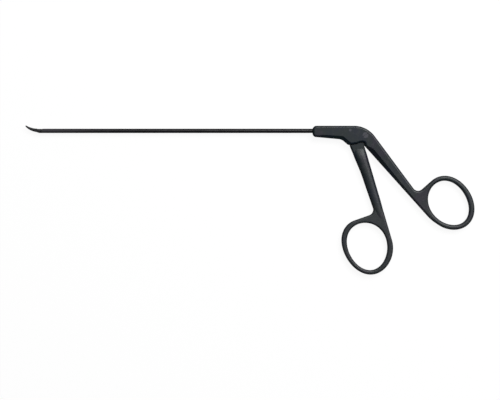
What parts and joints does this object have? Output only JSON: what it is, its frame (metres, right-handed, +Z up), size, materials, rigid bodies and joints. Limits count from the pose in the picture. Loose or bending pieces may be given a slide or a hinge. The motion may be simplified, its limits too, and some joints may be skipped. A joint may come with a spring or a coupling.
{
  "type": "laryngeal micro scissors",
  "caption": "Long-shafted micro scissors with up-curved blades at the end of a thin tube, worked by two angled ring handles.",
  "frame": {"origin": "centre of the footprint of the scissors lying on one side, on the surface they lie on", "axes": "+X along the shaft from the blades to the handles, +Y to the side away from the finger rings, +Z up from the table"},
  "size_m": [0.3128, 0.104, 0.0072],
  "materials": {
    "black_coat": "satin black anti-glare coating",
    "tube_coat": "satin black anti-glare coating",
    "blade_coat": "satin black anti-glare coating",
    "screw_steel": "worn satin black",
    "bare_steel": "ground steel"
  },
  "bodies": {
    "body": {"handle_body": "black_coat", "pivot_screw": "screw_steel", "outer_tube": "tube_coat", "tube_pins": "screw_steel", "fixed_blade": "blade_coat", "blade_pin": "blade_coat"},
    "front_handle": {"front_handle": "black_coat"},
    "rod": {"drive_rod": "tube_coat", "rod_end": "bare_steel", "rod_lock_nut": "bare_steel", "rod_cross_pin": "bare_steel"},
    "moving_blade": {"moving_blade": "blade_coat", "link_pin": "blade_coat"}
  },
  "joints": [
    {"name": "handle_pivot", "type": "hinge", "parent": "body", "child": "front_handle", "pos_m": [0.08025, 0.04505, 0.0036], "axis": [0, 0, -1], "range_deg": [0, 16]},
    {"name": "rod_slide", "type": "slide", "parent": "body", "child": "rod", "axis": [1, 0, 0], "range_m": [0, 0.000865]},
    {"name": "blade_pivot", "type": "hinge", "parent": "body", "child": "moving_blade", "pos_m": [-0.14759, 0.04751, 0.0036], "axis": [0, 0, -1], "range_deg": [0, 48.37]}
  ],
  "couplings": [
    {"joint": "rod_slide", "follows": "handle_pivot", "m_per_rad": 0.00308},
    {"joint": "blade_pivot", "follows": "handle_pivot", "ratio": 3.0223}
  ]
}
